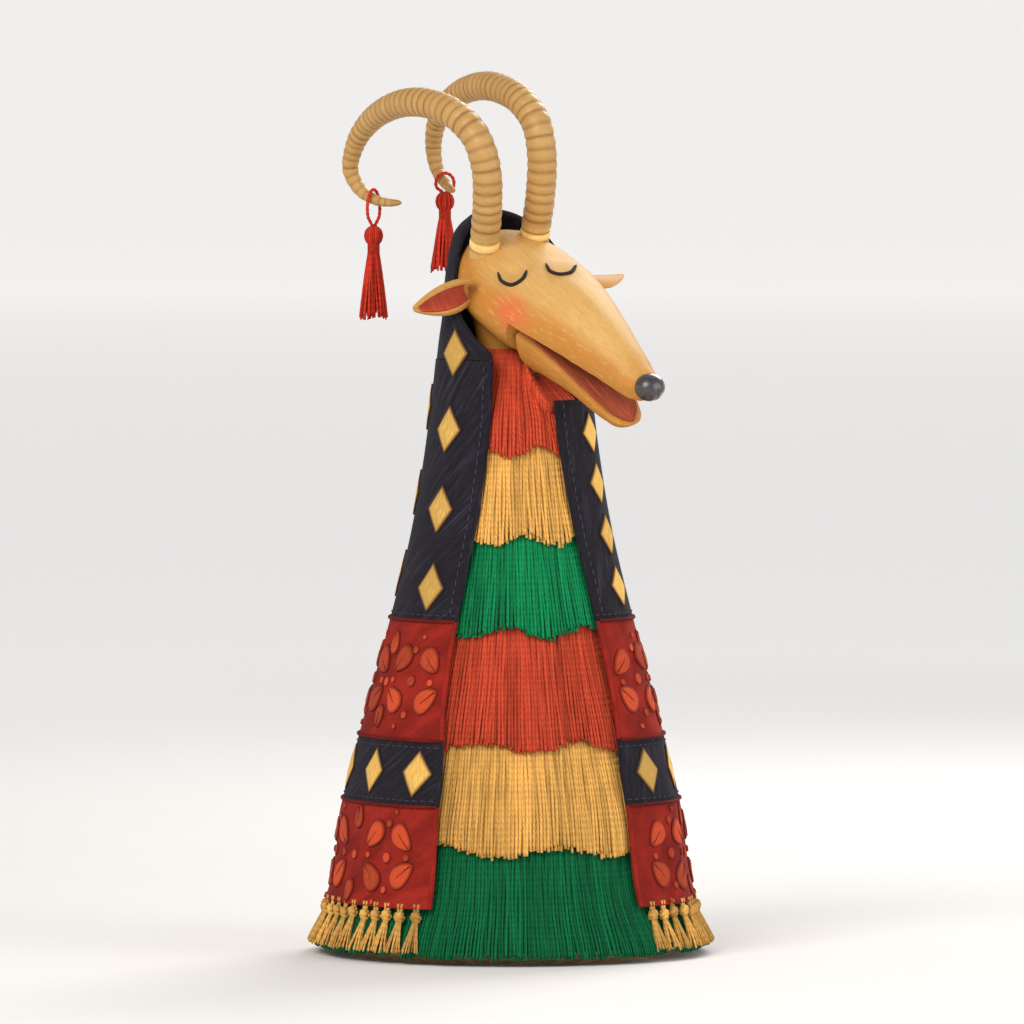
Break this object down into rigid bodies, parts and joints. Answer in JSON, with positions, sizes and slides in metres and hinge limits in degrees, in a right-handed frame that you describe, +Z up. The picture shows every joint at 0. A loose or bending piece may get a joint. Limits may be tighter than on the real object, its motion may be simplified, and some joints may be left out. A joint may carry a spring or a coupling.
{
  "type": "folk goat figure",
  "caption": "Table-top folk goat figure: carved wooden head with clacking jaw, curled ridged horns with red tassels, navy hooded cape over tiered fringe robe.",
  "frame": {"origin": "centre of the round base board's underside, on the axis of the post", "axes": "+Z up along the post, -Y towards the open front of the cape, +X to the side the head is turned to"},
  "size_m": [0.195, 0.2025, 0.4228],
  "materials": {
    "pine": "sanded",
    "card": "stiff paper",
    "carved_wood": "oiled",
    "black_nose": "satin paint",
    "pin_steel": "plain",
    "eye_thread": "thread",
    "ear_leather": "suede",
    "pink_felt": "felt",
    "horn": "ridged, oiled",
    "mouth_felt": "felt",
    "red_yarn": "yarn",
    "ochre_yarn": "yarn",
    "green_yarn": "yarn",
    "brick_yarn": "yarn",
    "navy_felt": "felt",
    "leaf_band": "printed cloth"
  },
  "bodies": {
    "figure": {"base_board": "pine", "post": "pine", "cone_former": "card", "head_block": "carved_wood", "nose": "black_nose", "jaw_pin": "pin_steel", "eye_right": "eye_thread", "ear_right": "ear_leather", "ear_lining_right": "pink_felt", "eye_left": "eye_thread", "ear_left": "ear_leather", "ear_lining_left": "pink_felt", "horn_right": "horn", "horn_left": "horn", "palate_lining": "mouth_felt", "throat_fringe": "red_yarn", "tier_1": "red_yarn", "tier_2": "ochre_yarn", "tier_3": "green_yarn", "tier_4": "brick_yarn", "tier_5": "ochre_yarn", "tier_6": "green_yarn", "cape_upper": "navy_felt", "band_leaf_upper": "leaf_band", "band_diamond": "navy_felt", "band_leaf_lower": "leaf_band", "hem_fringe": "ochre_yarn", "hood": "navy_felt"},
    "jaw": {"lower_jaw": "carved_wood", "jaw_lining": "mouth_felt"},
    "pull": {"pull_rod": "pine", "pull_knob": "pine"},
    "tassel_right": {"tassel_right": "red_yarn"},
    "tassel_left": {"tassel_left": "red_yarn"}
  },
  "joints": [
    {"name": "pull_slide", "type": "slide", "parent": "figure", "child": "pull", "axis": [0, 0, 1], "range_m": [-0.006, 0.0028]},
    {"name": "jaw_hinge", "type": "hinge", "parent": "figure", "child": "jaw", "pos_m": [0.01525, -0.02382, 0.30045], "axis": [0.9097, 0.3708, 0.1869], "range_deg": [-8.4, 4]},
    {"name": "tassel_right_swing", "type": "hinge", "parent": "figure", "child": "tassel_right", "pos_m": [-0.05713, 0.06817, 0.36055], "axis": [0.669, -0.7433, 0], "range_deg": [-30, 12]},
    {"name": "tassel_left_swing", "type": "hinge", "parent": "figure", "child": "tassel_left", "pos_m": [-0.01983, 0.08337, 0.36822], "axis": [0.1824, -0.9832, 0], "range_deg": [-12, 30]}
  ],
  "couplings": [
    {"joint": "jaw_hinge", "follows": "pull_slide", "rad_per_m": 24.39}
  ]
}
